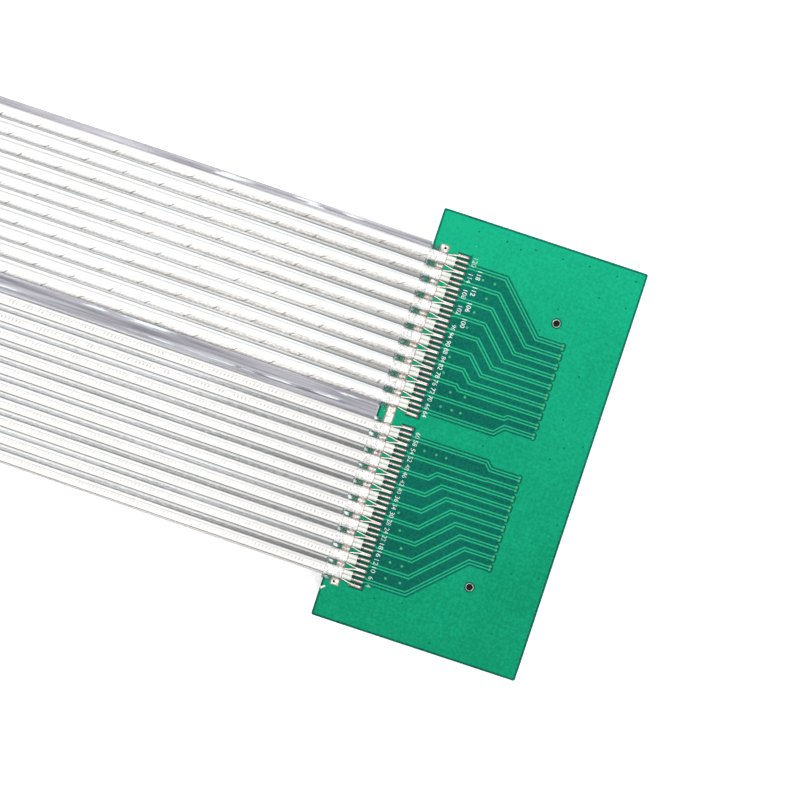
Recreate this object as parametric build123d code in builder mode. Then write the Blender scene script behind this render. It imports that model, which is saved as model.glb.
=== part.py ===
import os
from math import pi, radians, tan

from build123d import *

# A flat twin-axial cable assembly: two ribbons of shielded pairs, soldered at each end to a small
# circuit card that carries a two-bank board-to-board connector on its underside.
# The origin is midway between the cards, on the surface that the connectors' mating faces rest on.
# X runs along the ribbons, Y across them and Z up. On a card, x is measured from the card's cable
# edge, away from the cables, and y from the card's middle.

# Card
board_length = 61.7
board_width = 30.9
board_thickness = 1.6
board_corner = 0.3
copper = 0.05
pour_inset = 0.3

# Cable pairs
pairs = 10
pair_pitch = 2.4
first_pair = 2.2
core_diameter = 0.66
core_gap = 0.0
wire_diameter = 0.25
drain_diameter = 0.2
shield_width = 1.6
shield_height = 0.8

# Where the pair's layers end, from the card's cable edge
film_end = -0.15
shield_end = 2.55
core_end = 3.92

# Solder pads
pad_pitch = 0.8
pad_width = 0.38
pad_start = 3.88
pad_length = 1.85
wire_tip = 0.1
wire_drop = 0.45
strip_start = 1.18
strip_width = 1.3
strip_overhang = 0.8

# Signal traces
trace_width = 0.2
trace_spacing = 0.43
trace_neck = 0.35
via_column = 22.44
via_pitch = 1.5
window_margin = 0.24
window_lobe = 0.42
fan_step = 0.29
fan_start_upper = 9.6
fan_start_lower = 9.95
inner_bend = 2.9

# Board-to-board connector
connector_from_edge = 20.51
housing_length = 41.3
housing_width = 7.1
housing_height = 3.1
housing_chamfer = 0.3
bank_pitch = 20.0
contacts_per_row = 30
contact_pitch = 0.5
contact_width = 0.25
contact_thickness = 0.15
contact_tip = 0.6
tail_length = 1.7
cavity_width = 4.6
cavity_depth = 2.3
cavity_end_room = 0.8
tongue_width = 1.3
tongue_recess = 0.45
blade_thickness = 0.2
blade_depth = 1.2
blade_end_room = 0.4
peg_spacing = 40.0
peg_diameter = 0.9
peg_recess = 0.2
hole_clearance = 0.06
hole_border = 0.27
key_width = 1.2
key_depth = 0.5

# Ribbons
film_thickness = 0.05
margin_thickness = 0.1
margin_lift = 0.06
outer_margin = 1.85
inner_margin = 2.8
cable_span = 164.0
lead_run = 20.0
rest_gap = 0.05

# Heights and places worked out from the sizes above
board_bottom = housing_height
board_top = board_bottom + board_thickness
copper_top = board_top + copper
pair_axis = copper_top + shield_height / 2
hump_width = shield_width + 2 * film_thickness
hump_height = shield_height + 2 * film_thickness
core_offset = (core_diameter + core_gap) / 2
pad_end = pad_start + pad_length
hole_diameter = peg_diameter + 2 * hole_clearance
bank_length = contacts_per_row * contact_pitch + 2 * cavity_end_room
pair_centres = [first_pair + pair_pitch * i for i in range(pairs)]
ground_ys = [first_pair - 1.5 * pad_pitch + pair_pitch * i for i in range(pairs + 1)]
pads_middle = (ground_ys[0] + ground_ys[-1]) / 2
pads_span = ground_ys[-1] - ground_ys[0] + pad_pitch

os.makedirs("parts", exist_ok=True)


# Planes and small helpers
def card_plane(side, height):
    """The plane of one card: its x starts at the cable edge and points away from the cables."""
    return Plane(origin=(side * cable_span / 2, 0, height), x_dir=(side, 0, 0), z_dir=(0, 0, 1))


def via_y(half, i):
    """Centre of the i-th via pair from the middle, on the upper (1) or lower (-1) half."""
    first_contact = bank_pitch / 2 - (contacts_per_row - 1) * contact_pitch / 2
    if half > 0:
        return first_contact + 1.5 * contact_pitch + via_pitch * i
    return -(first_contact + 0.5 * contact_pitch + via_pitch * i)


def trace_points(half, i, shift):
    """Corners of one trace, which runs shift beside the middle of its pair."""
    start_y = half * pair_centres[i]
    end_y = via_y(half, i)
    drop = end_y - start_y
    turn = 1 if drop > 0 else -1
    if i < 2:
        bend = via_column - inner_bend - abs(drop) - 1.5
    else:
        bend = (fan_start_upper if half > 0 else fan_start_lower) + fan_step * (i - 2)
    mitre = -shift * tan(radians(22.5)) * turn
    pad_y = start_y + (pad_pitch / 2 if shift > 0 else -pad_pitch / 2)
    return [
        (pad_end, pad_y),
        (pad_end + trace_neck, start_y + shift),
        (bend + mitre, start_y + shift),
        (bend + abs(drop) + mitre, end_y + shift),
        (via_column, end_y + shift),
    ]


def window_outline(half):
    """Outline of the signal window of one half, a fixed margin outside its outermost traces."""
    reach = trace_spacing / 2 + trace_width / 2 + window_margin
    outer = trace_points(half, pairs - 1, half * reach)[1:]
    inner = trace_points(half, 0, -half * reach)[1:]
    return outer + inner[::-1]


def save(piece, name):
    piece.part.label = name
    export_step(piece.part, f"parts/{name}.step")


# Circuit card
def make_board(side, name):
    with BuildPart() as board:
        with BuildSketch(card_plane(side, board_bottom)):
            with Locations((board_width / 2, 0)):
                RectangleRounded(board_width, board_length, board_corner)
            with Locations((connector_from_edge, 0)):
                with GridLocations(0, peg_spacing, 1, 2):
                    Circle(hole_diameter / 2, mode=Mode.SUBTRACT)
        extrude(amount=board_thickness)
    save(board, name + "_board")


def make_pour(side, name):
    with BuildPart() as pour:
        with BuildSketch(card_plane(side, board_top)):
            with Locations((board_width / 2, 0)):
                RectangleRounded(
                    board_width - 2 * pour_inset, board_length - 2 * pour_inset, board_corner
                )
            with Locations((connector_from_edge, 0)):
                with GridLocations(0, peg_spacing, 1, 2):
                    Circle(hole_diameter / 2 + hole_border, mode=Mode.SUBTRACT)
            with Locations((strip_start + strip_width / 2, 0)):
                Rectangle(
                    strip_width, 2 * (ground_ys[-1] + strip_overhang), mode=Mode.SUBTRACT
                )
            for half in (1, -1):
                with BuildLine():
                    Polyline(*window_outline(half), close=True)
                make_face(mode=Mode.SUBTRACT)
                with Locations((pad_start + (pad_length + trace_neck) / 2, half * pads_middle)):
                    Rectangle(pad_length + trace_neck, pads_span, mode=Mode.SUBTRACT)
                for i in range(pairs):
                    with Locations((via_column, via_y(half, i))):
                        SlotCenterToCenter(
                            contact_pitch, 2 * window_lobe, rotation=90, mode=Mode.SUBTRACT
                        )
        extrude(amount=copper)
    save(pour, name + "_ground_pour")


def make_traces(side, half, name):
    with BuildPart() as traces:
        with BuildSketch(card_plane(side, board_top)):
            for i in range(pairs):
                for shift in (trace_spacing / 2, -trace_spacing / 2):
                    with BuildLine():
                        Polyline(*trace_points(half, i, shift))
            trace(line_width=trace_width)
        extrude(amount=copper)
    save(traces, name)


def make_pads(side, name):
    with BuildPart() as signal_pads:
        with BuildSketch(card_plane(side, board_top)):
            for half in (1, -1):
                for y in pair_centres:
                    with Locations((pad_start + pad_length / 2, half * y)):
                        with GridLocations(0, pad_pitch, 1, 2):
                            Rectangle(pad_length, pad_width)
        extrude(amount=copper)
    save(signal_pads, name + "_signal_pads")

    with BuildPart() as ground_pads:
        with BuildSketch(card_plane(side, board_top)):
            for half in (1, -1):
                for y in ground_ys:
                    with Locations((pad_start + pad_length / 2, half * y)):
                        Rectangle(pad_length, pad_width)
        extrude(amount=copper)
    save(ground_pads, name + "_ground_pads")

    with BuildPart() as strip:
        with BuildSketch(card_plane(side, board_top)):
            with Locations((strip_start + strip_width / 2, 0)):
                Rectangle(strip_width, 2 * (ground_ys[-1] + strip_overhang))
        extrude(amount=copper)
    save(strip, name + "_ground_strip")


# Stripped cable ends
def make_cable_ends(side, half, name):
    sign = side * half
    label = "upper" if sign > 0 else "lower"
    with BuildPart() as shields:
        start = card_plane(side, pair_axis)
        face = Plane(start.from_local_coords((film_end, 0, 0)), x_dir=(0, side, 0), z_dir=(side, 0, 0))
        with BuildSketch(face):
            with Locations(*[(half * y, 0) for y in pair_centres]):
                SlotOverall(shield_width, shield_height)
        extrude(amount=shield_end - film_end)
    save(shields, f"{name}_shield_ends_{label}")

    with BuildPart() as cores:
        face = Plane(start.from_local_coords((shield_end, 0, 0)), x_dir=(0, side, 0), z_dir=(side, 0, 0))
        with BuildSketch(face):
            with Locations(*[(half * y, 0) for y in pair_centres]):
                with GridLocations(2 * core_offset, 0, 2, 1):
                    Circle(core_diameter / 2)
        extrude(amount=core_end - shield_end)
    save(cores, f"{name}_cores_{label}")

    wire_z = copper_top + wire_diameter / 2
    drain_z = copper_top + drain_diameter / 2
    leave = core_offset + (core_diameter + drain_diameter) / 2
    wire_routes = []
    drain_routes = []
    for y in pair_centres:
        for offset in (1, -1):
            pad_y = half * y + offset * pad_pitch / 2
            wire_routes.append(
                [
                    (core_end, half * y + offset * core_offset, pair_axis),
                    (core_end + wire_drop, pad_y, wire_z),
                    (pad_end - wire_tip, pad_y, wire_z),
                ]
            )
            pad_y = half * y + offset * (1.5 * pad_pitch - drain_diameter / 2 - 0.01)
            drain_routes.append(
                [
                    (shield_end, half * y + offset * leave, pair_axis - drain_diameter / 2),
                    (pad_start + wire_tip, pad_y, drain_z),
                    (pad_end - 2 * wire_tip, pad_y, drain_z),
                ]
            )
    make_wires(side, wire_routes, wire_diameter, f"{name}_signal_wires_{label}")
    make_wires(side, drain_routes, drain_diameter, f"{name}_drain_wires_{label}")


def make_wires(side, routes, diameter, name):
    """Thin six-sided wires through points that are given from the card's cable edge."""
    base = card_plane(side, 0)
    pieces = []
    with BuildPart() as wires:
        for points in routes:
            with BuildLine():
                line = Polyline(*[base.from_local_coords(p) for p in points])
            with BuildSketch(Plane(line @ 0, z_dir=base.x_dir)):
                RegularPolygon(diameter / 2, 6)
            pieces.append(sweep(path=line, transition=Transition.RIGHT, mode=Mode.PRIVATE))
        add(pieces)
    save(wires, name)


# Board-to-board connector
def make_housing(side, name):
    roof = housing_height - cavity_depth
    with BuildPart() as housing:
        with BuildSketch(card_plane(side, 0)):
            with Locations((connector_from_edge, 0)):
                Rectangle(housing_width, housing_length)
        extrude(amount=housing_height)
        chamfer(housing.edges().filter_by(Axis.Z), housing_chamfer)
        with BuildSketch(card_plane(side, 0)):
            with Locations((connector_from_edge, 0)):
                with GridLocations(0, bank_pitch, 1, 2):
                    Rectangle(cavity_width, bank_length)
        extrude(amount=cavity_depth, mode=Mode.SUBTRACT)
        with BuildSketch(card_plane(side, tongue_recess)):
            with Locations((connector_from_edge, 0)):
                with GridLocations(0, bank_pitch, 1, 2):
                    Rectangle(tongue_width, bank_length)
        extrude(amount=cavity_depth - tongue_recess)
        with BuildSketch(card_plane(side, tongue_recess)):
            with Locations((connector_from_edge, 0)):
                with GridLocations(0, bank_pitch, 1, 2):
                    Rectangle(blade_thickness, bank_length - 2 * blade_end_room)
        extrude(amount=blade_depth, mode=Mode.SUBTRACT)
        for row in (1, -1):
            row_x = connector_from_edge + row * (cavity_width - contact_thickness) / 2
            with BuildSketch(card_plane(side, cavity_depth)):
                with Locations((row_x, 0)):
                    with GridLocations(0, bank_pitch, 1, 2):
                        Rectangle(contact_thickness, contacts_per_row * contact_pitch)
            extrude(amount=roof, mode=Mode.SUBTRACT)
            tail_x = connector_from_edge + row * (cavity_width / 2 - contact_thickness + tail_length / 2)
            with BuildSketch(card_plane(side, housing_height - contact_thickness)):
                with Locations((tail_x, 0)):
                    with GridLocations(0, bank_pitch, 1, 2):
                        Rectangle(tail_length, contacts_per_row * contact_pitch)
            extrude(amount=contact_thickness, mode=Mode.SUBTRACT)
        with BuildSketch(card_plane(side, 0)):
            with Locations((connector_from_edge + housing_width / 2, 0)):
                Rectangle(2 * key_depth, key_width)
        extrude(amount=cavity_depth, mode=Mode.SUBTRACT)
        with BuildSketch(card_plane(side, housing_height)):
            with Locations((connector_from_edge, 0)):
                with GridLocations(0, peg_spacing, 1, 2):
                    Circle(peg_diameter / 2)
        extrude(amount=board_thickness - peg_recess)
    save(housing, name + "_connector_housing")


def make_contacts(side, row, name):
    foot_x = connector_from_edge + row * (cavity_width / 2 - contact_thickness + tail_length / 2)
    beam_x = connector_from_edge + row * (cavity_width - contact_thickness) / 2
    with BuildPart() as contacts:
        with BuildSketch(card_plane(side, housing_height - contact_thickness)):
            for bank in (1, -1):
                with Locations((foot_x, bank * bank_pitch / 2)):
                    with GridLocations(0, contact_pitch, 1, contacts_per_row):
                        Rectangle(tail_length, contact_width)
        extrude(amount=contact_thickness)
        with BuildSketch(card_plane(side, contact_tip)):
            for bank in (1, -1):
                with Locations((beam_x, bank * bank_pitch / 2)):
                    with GridLocations(0, contact_pitch, 1, contacts_per_row):
                        Rectangle(contact_thickness, contact_width)
        extrude(amount=housing_height - contact_tip)
    save(contacts, name)


def make_blades(side, name):
    with BuildPart() as blades:
        with BuildSketch(card_plane(side, tongue_recess)):
            with Locations((connector_from_edge, 0)):
                with GridLocations(0, bank_pitch, 1, 2):
                    Rectangle(blade_thickness, bank_length - 2 * blade_end_room)
        extrude(amount=blade_depth)
    save(blades, name + "_ground_blades")


# Ribbons
def make_ribbon(half, name):
    rest = rest_gap + hump_height / 2
    edge = cable_span / 2 + film_end
    knee = edge - lead_run
    foot = lead_run
    points = [
        (-edge, 0, pair_axis),
        (-knee, 0, pair_axis),
        (-foot, 0, rest),
        (foot, 0, rest),
        (knee, 0, pair_axis),
        (edge, 0, pair_axis),
    ]
    middle = half * (pair_centres[0] + pair_centres[-1]) / 2
    width = pair_centres[-1] - pair_centres[0] + inner_margin + outer_margin
    film_y = middle + half * (outer_margin - inner_margin) / 2
    with BuildPart() as ribbon:
        with BuildLine():
            route = FilletPolyline(*points, radius=arc_radii(points))
        with BuildSketch(Plane(points[0], x_dir=(0, 1, 0), z_dir=(1, 0, 0))):
            with Locations(*[(half * y, 0) for y in pair_centres]):
                SlotOverall(hump_width, hump_height)
            with Locations((film_y, half * margin_lift)):
                Rectangle(width, margin_thickness)
        sweep(path=route)
    save(ribbon, name)
    report_ribbon(name, route, ribbon.part)


def arc_radii(points):
    """The largest arcs that the runs leave room for at each corner of the route."""
    radii = []
    for before, corner, after in zip(points, points[1:], points[2:]):
        first = Vector(*corner) - Vector(*before)
        second = Vector(*after) - Vector(*corner)
        turn = radians(first.get_angle(second))
        radii.append(0.45 * min(first.length, second.length) / tan(turn / 2))
    return radii


def report_ribbon(name, line, solid):
    section = pairs * (pi * hump_height**2 / 4 + (hump_width - hump_height) * hump_height)
    bare = pair_centres[-1] - pair_centres[0] + inner_margin + outer_margin - pairs * hump_width
    section += bare * margin_thickness
    radii = sorted({round(e.radius, 1) for e in line.edges().filter_by(GeomType.CIRCLE)})
    print(name, "length", round(line.length, 1), "arc radii", radii)
    print("  volume", round(solid.volume, 1), "section x length", round(section * line.length, 1))


for side, name in ((1, "near"), (-1, "far")):
    make_board(side, name)
    make_pour(side, name)
    make_traces(side, side, name + "_traces_upper")
    make_traces(side, -side, name + "_traces_lower")
    make_pads(side, name)
    make_cable_ends(side, 1, name)
    make_cable_ends(side, -1, name)
    make_housing(side, name)
    make_contacts(side, -1, name + "_contacts_cable_row")
    make_contacts(side, 1, name + "_contacts_outer_row")
    make_blades(side, name)

make_ribbon(1, "ribbon_upper")
make_ribbon(-1, "ribbon_lower")
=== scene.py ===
import math
import bmesh
import bpy
import numpy as np
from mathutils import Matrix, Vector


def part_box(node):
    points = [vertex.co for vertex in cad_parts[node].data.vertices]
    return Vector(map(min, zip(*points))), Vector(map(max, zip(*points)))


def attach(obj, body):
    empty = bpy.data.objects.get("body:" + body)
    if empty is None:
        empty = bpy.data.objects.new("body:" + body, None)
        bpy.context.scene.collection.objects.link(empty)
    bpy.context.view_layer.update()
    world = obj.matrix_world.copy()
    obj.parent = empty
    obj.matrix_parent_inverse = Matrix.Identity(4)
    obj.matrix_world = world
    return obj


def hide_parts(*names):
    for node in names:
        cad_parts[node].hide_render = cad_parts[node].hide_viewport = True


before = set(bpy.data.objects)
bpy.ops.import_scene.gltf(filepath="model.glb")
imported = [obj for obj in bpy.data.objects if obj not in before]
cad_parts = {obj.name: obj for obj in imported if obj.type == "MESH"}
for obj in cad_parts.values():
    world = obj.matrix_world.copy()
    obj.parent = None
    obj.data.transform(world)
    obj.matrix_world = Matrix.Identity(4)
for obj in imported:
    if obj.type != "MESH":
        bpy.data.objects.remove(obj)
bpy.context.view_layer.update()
mm = 0.001
random = np.random.default_rng(7)

# Places shared by the pieces, in millimetres, read from the solids. A card's own x starts at its cable edge and its
# own y at its middle; the far card is the near one turned half round
board, strip, pads, shield, core = [[np.array(c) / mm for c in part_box("near_" + node)] for node in
                                    ("board", "ground_strip", "signal_pads", "shield_ends_upper", "cores_upper")]
halfSpan, boardBottom, boardTop = float(board[0][0]), float(board[0][2]), float(board[1][2])
copperTop = float(strip[1][2])
pairAxis = float(shield[0][2] + shield[1][2]) / 2
filmEnd, shieldEnd = float(shield[0][0]) - halfSpan, float(shield[1][0]) - halfSpan
coreEnd = float(core[1][0]) - halfSpan
padStart, padEnd = float(pads[0][0]) - halfSpan, float(pads[1][0]) - halfSpan
padMiddle = (padStart + padEnd) / 2
stripStart, stripEnd = float(strip[0][0]) - halfSpan, float(strip[1][0]) - halfSpan
stripReach = float(strip[1][1])
pairPitch, firstPair, padPitch = 2.4, 2.2, 0.8
pairCentres = firstPair + pairPitch * np.arange(10)
gapCentres = firstPair - pairPitch / 2 + pairPitch * np.arange(11)
cards = {"near": 1, "far": -1}
print("frame loaded, cards start", round(halfSpan, 2), "mm from the middle")

# Camera: straight above, turned so that the card stands in the picture as in the photograph
cameraLook = {"lens": 150, "sensor": 36, "viewWidth": 115.27, "roll": 18.25, "fromCardMiddle": (-12.9, 2.48)}


def makeCamera(look):
    middle = float(board[0][0] + board[1][0]) / 2
    data = bpy.data.cameras.new("camera")
    data.lens, data.sensor_width = look["lens"], look["sensor"]
    data.clip_start, data.clip_end = 0.01, 20
    camera = bpy.data.objects.new("camera", data)
    bpy.context.collection.objects.link(camera)
    distance = look["viewWidth"] * look["lens"] / look["sensor"]
    dx, dy = look["fromCardMiddle"]
    camera.location = ((middle + dx) * mm, dy * mm, (boardTop + distance) * mm)
    camera.rotation_euler = (0, 0, math.radians(look["roll"]))
    bpy.context.scene.camera = camera


makeCamera(cameraLook)


# Mesh helpers
def stacked(*values):
    # numbers and arrays of fitting shapes side by side in a new last axis, as points or as the corners of faces
    return np.stack(np.broadcast_arrays(*values), axis=-1)


def meshPiece(name, points, faces, finishes, node=None, uv=None, faceMaterial=None, values=None):
    # points in metres (n, 3) and faces (m, 4) or a list of faces; coinciding points are merged and normals turned out
    mesh = bpy.data.meshes.new(name)
    mesh.from_pydata(points.tolist(), [], faces.tolist() if hasattr(faces, "tolist") else faces)
    for finish in finishes:
        mesh.materials.append(materials[finish])
    mesh.polygons.foreach_set("use_smooth", np.ones(len(mesh.polygons), bool))
    if faceMaterial is not None:
        mesh.polygons.foreach_set("material_index", faceMaterial.astype(np.int32))
    corner = np.zeros(len(mesh.loops), np.int32)
    mesh.loops.foreach_get("vertex_index", corner)
    if uv is not None:
        mesh.uv_layers.new(name="UVMap").data.foreach_set("uv", uv[corner].astype(np.float32).ravel())
    if values is not None:
        layer = mesh.attributes.new(values[0], "FLOAT", "POINT")
        layer.data.foreach_set("value", values[1].astype(np.float32))
    shape = bmesh.new()
    shape.from_mesh(mesh)
    bmesh.ops.remove_doubles(shape, verts=shape.verts, dist=1e-7)
    bmesh.ops.recalc_face_normals(shape, faces=shape.faces)
    shape.to_mesh(mesh)
    shape.free()
    mesh.set_sharp_from_angle(angle=math.radians(85))
    mesh.update()
    piece = bpy.data.objects.new(name, mesh)
    bpy.context.collection.objects.link(piece)
    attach(piece, "root")
    if node:
        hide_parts(node)
    return piece


def cardPiece(name, side, shape, finish, node=None, uv=None, values=None):
    # a piece given in a card's own millimetres
    points, faces = shape
    meshPiece(name, placeOnCard(points, side), faces, [finish], node, uv, None, values)


def placeOnCard(points, side):
    # a card's own x, y and height in mm to the frame in metres
    x, y, z = points[..., 0], points[..., 1], points[..., 2]
    return stacked(side * (halfSpan + x), side * y, z).reshape(-1, 3) * mm


def gridFaces(rows, columns, closedColumns=False):
    # quads between neighbouring points of a rows by columns grid
    i = np.arange(rows - 1)[:, None]
    j = np.arange(columns if closedColumns else columns - 1)[None, :]
    after = (j + 1) % columns
    row, nextRow = i * columns, (i + 1) * columns
    return stacked(row + j, row + after, nextRow + after, nextRow + j).reshape(-1, 4)


def slab(top, bottom):
    # a closed thin body between two (rows, columns, 3) grids: both grids and a wall round their border
    rows, columns = top.shape[:2]
    count = rows * columns
    index = np.arange(count).reshape(rows, columns)
    border = np.concatenate([index[0, :-1], index[:-1, -1], index[-1, :0:-1], index[:0:-1, 0]])
    after = np.roll(border, -1)
    wall = stacked(border, after, after + count, border + count)
    flat = gridFaces(rows, columns)
    return np.concatenate([top.reshape(-1, 3), bottom.reshape(-1, 3)]), np.concatenate([flat, flat + count, wall])


def repeatMesh(points, faces, offsets):
    # the same mesh at every offset
    allPoints = (points[None] + offsets[:, None]).reshape(-1, 3)
    allFaces = (faces[None] + len(points) * np.arange(len(offsets))[:, None, None]).reshape(-1, faces.shape[1])
    return allPoints, allFaces


def joinMeshes(parts):
    starts = np.cumsum([0] + [len(p) for p, _ in parts[:-1]])
    return np.concatenate([p for p, _ in parts]), np.concatenate([f + s for (_, f), s in zip(parts, starts)])


def roundBody(rings):
    # rings (n, sides, 3) joined side by side, with both ends drawn in to their middle points
    first, last = rings[:1].mean(axis=1, keepdims=True), rings[-1:].mean(axis=1, keepdims=True)
    sides = rings.shape[1]
    closed = np.concatenate([np.repeat(first, sides, 1), rings, np.repeat(last, sides, 1)])
    return closed.reshape(-1, 3), gridFaces(len(closed), sides, closedColumns=True)


def unit(vectors):
    return vectors / np.linalg.norm(vectors, axis=-1, keepdims=True)


def circle(sides):
    # cosines and sines of evenly spread angles
    angle = 2 * np.pi * np.arange(sides) / sides
    return np.cos(angle), np.sin(angle)


def tubeAlong(path, radius, sides):
    # circle of the given radius round every point of the path
    tangent = unit(np.gradient(path, axis=0))
    across = unit(np.cross(tangent, [0.0, 0.0, 1.0]))
    up = np.cross(across, tangent)
    cos, sin = circle(sides)
    return roundBody(path[:, None] + radius * (cos[:, None] * across[:, None] + sin[:, None] * up[:, None]))


def smoothPath(corners, count=8):
    # quadratic B-spline through the ends of a few corner points, count points a span
    corners = np.array(corners, float)
    knots = np.concatenate([corners[:1], ((corners[:-1] + corners[1:]) / 2)[1:-1], corners[-1:]])
    parts = []
    for k in range(len(knots) - 1):
        t = np.linspace(0, 1, count, endpoint=k == len(knots) - 2)[:, None]
        parts.append((1 - t) ** 2 * knots[k] + 2 * t * (1 - t) * corners[k + 1] + t**2 * knots[k + 1])
    return np.concatenate(parts)


def meshOfCurve(data):
    # the points and faces that a curve or a text makes; the curve itself is removed
    mesh = bpy.data.meshes.new_from_object(bpy.data.objects.new(data.name, data))
    points = np.zeros((len(mesh.vertices), 3), np.float32)
    mesh.vertices.foreach_get("co", points.ravel())
    faces = [tuple(face.vertices) for face in mesh.polygons]
    bpy.data.meshes.remove(mesh)
    bpy.data.curves.remove(data)
    return points.astype(float), faces


def softNoise(shape):
    # random values smoothed once over their neighbours
    wave = random.normal(size=shape)
    return (wave + np.roll(wave, 1, 0) + np.roll(wave, 1, 1) + np.roll(wave, -1, 1)) / 2


# Shader helpers
class Value:
    # what a node puts out: + - * / < > and abs work on it, each through a Math node of the same tree
    def __init__(self, socket):
        self.socket, self.tree = socket, socket.id_data

    def __add__(self, other):
        return maths("ADD", self, other)

    def __sub__(self, other):
        return maths("SUBTRACT", self, other)

    def __rsub__(self, other):
        return maths("SUBTRACT", other, self)

    def __mul__(self, other):
        return maths("MULTIPLY", self, other)

    def __truediv__(self, other):
        return maths("DIVIDE", self, other)

    def __lt__(self, other):
        return maths("LESS_THAN", self, other)

    def __gt__(self, other):
        return maths("GREATER_THAN", self, other)

    def __abs__(self):
        return maths("ABSOLUTE", self)


def feed(node, name, value):
    # a number, a colour of three numbers or what another node puts out, into an input
    socket = node.inputs[name]
    if isinstance(value, Value):
        node.id_data.links.new(value.socket, socket)
    else:
        socket.default_value = (*value, 1) if socket.type == "RGBA" else value


def addNode(tree, kind, values=None, **settings):
    node = tree.nodes.new("ShaderNode" + kind)
    for key, value in settings.items():
        setattr(node, key, value)
    for name, value in (values or {}).items():
        feed(node, name, value)
    return node


def addGroup(tree, group, values):
    node = addNode(tree, "Group", values, node_tree=group)
    return {output.name: Value(output) for output in node.outputs}


def maths(operation, *values, clamp=False):
    tree = next(value.tree for value in values if isinstance(value, Value))
    node = addNode(tree, "Math", dict(enumerate(values)), operation=operation, use_clamp=clamp)
    return Value(node.outputs[0])


def mixed(factor, first, second, blend="MIX"):
    node = addNode(factor.tree, "Mix", {0: factor, 6: first, 7: second}, data_type="RGBA", blend_type=blend)
    return Value(node.outputs[2])


def spread(value, low, high, toLow=0.0, toHigh=1.0):
    # the range from low to high carried over to the range from toLow to toHigh, and held at its ends
    limits = {"Value": value, "From Min": low, "From Max": high, "To Min": toLow, "To Max": toHigh}
    return Value(addNode(value.tree, "MapRange", limits, clamp=True).outputs[0])


def noise(place, scale, detail=3.0, stretch=None):
    if stretch:
        place = Value(addNode(place.tree, "Mapping", {"Vector": place, "Scale": stretch}).outputs[0])
    return Value(addNode(place.tree, "TexNoise", {"Vector": place, "Scale": scale, "Detail": detail}).outputs[0])


def ownPlace(tree, onMap=False):
    # the object's own coordinates in metres, or its UV map in millimetres: whole, and as x, y and z
    node = addNode(tree, "UVMap", uv_map="UVMap") if onMap else addNode(tree, "TexCoord")
    place = Value(node.outputs["UV" if onMap else "Object"])
    return [place] + [Value(output) for output in addNode(tree, "SeparateXYZ", {"Vector": place}).outputs]


def newGroup(name, inputs, outputs):
    # an input without a number is a colour, and so is the output called Color
    group = bpy.data.node_groups.new(name, "ShaderNodeTree")
    for label, value in inputs.items():
        kind = "NodeSocketColor" if value is None else "NodeSocketFloat"
        socket = group.interface.new_socket(label, in_out="INPUT", socket_type=kind)
        if value is not None:
            socket.default_value = value
    for label in outputs:
        kind = "NodeSocketColor" if label == "Color" else "NodeSocketFloat"
        group.interface.new_socket(label, in_out="OUTPUT", socket_type=kind)
    given = {output.name: Value(output) for output in group.nodes.new("NodeGroupInput").outputs if output.name}
    return group, given, group.nodes.new("NodeGroupOutput")


def newMaterial(name, **values):
    material = bpy.data.materials.new(name)
    material.use_nodes = True
    tree = material.node_tree
    tree.nodes.clear()
    output = tree.nodes.new("ShaderNodeOutputMaterial")
    shader = tree.nodes.new("ShaderNodeBsdfPrincipled")
    tree.links.new(shader.outputs[0], output.inputs[0])
    for socket, value in values.items():
        shader.inputs[socket.replace("_", " ")].default_value = value
    return material, tree, shader


def dress(shader, colour, rough, height, strength, distance):
    # colour, roughness where it varies, and a bump of the given height in metres
    feed(shader, "Base Color", colour)
    if rough:
        feed(shader, "Roughness", rough)
    bump = addNode(shader.id_data, "Bump", {"Height": height, "Strength": strength, "Distance": distance})
    feed(shader, "Normal", Value(bump.outputs[0]))


# Effects that several materials share
def makeMottleGroup():
    # cloudy and fine noise on the object's own coordinates, as a colour between two and as a height
    inputs = {"Light": None, "Dark": None, "Cloud Scale": 60.0, "Grain Scale": 900.0, "Grain Share": 0.3}
    group, given, result = newGroup("mottle", inputs, ("Color", "Value", "Height"))
    place = ownPlace(group)[0]
    cloud, grain = noise(place, given["Cloud Scale"], 4.0), noise(place, given["Grain Scale"])
    value = spread(grain * given["Grain Share"] + cloud * (1.0 - given["Grain Share"]), 0.35, 0.65)
    feed(result, "Color", mixed(value, given["Dark"], given["Light"]))
    feed(result, "Value", value)
    feed(result, "Height", grain)
    return group


def makeMaskGroup():
    # lacquer over the card: slow clouds, fine grain and the crossed threads of the glass cloth, with painted light that
    # makes it paler towards +y
    inputs = {"Light": None, "Dark": None, "Weave": 0.1, "Slope": 13.0}
    group, given, result = newGroup("maskTone", inputs, ("Color", "Value", "Height"))
    place, _, y, _ = ownPlace(group)
    cloud, grain = noise(place, 70.0, 4.0), noise(place, 2600.0, 2.0)
    wave = {"Vector": place, "Scale": 420.0, "Distortion": 1.5, "Detail": 1.0}
    warp, weft = [Value(addNode(group, "TexWave", wave, bands_direction=way).outputs[1]) for way in ("X", "Y")]
    # painted light: the last term makes the lacquer steadily paler towards +y
    value = cloud * 0.9 + grain * 1.2 + (warp * weft - 0.25) * given["Weave"] + y * given["Slope"]
    value = maths("SUBTRACT", value, 0.55, clamp=True)
    feed(result, "Color", mixed(value, given["Dark"], given["Light"]))
    feed(result, "Value", value)
    feed(result, "Height", grain)
    return group


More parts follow.
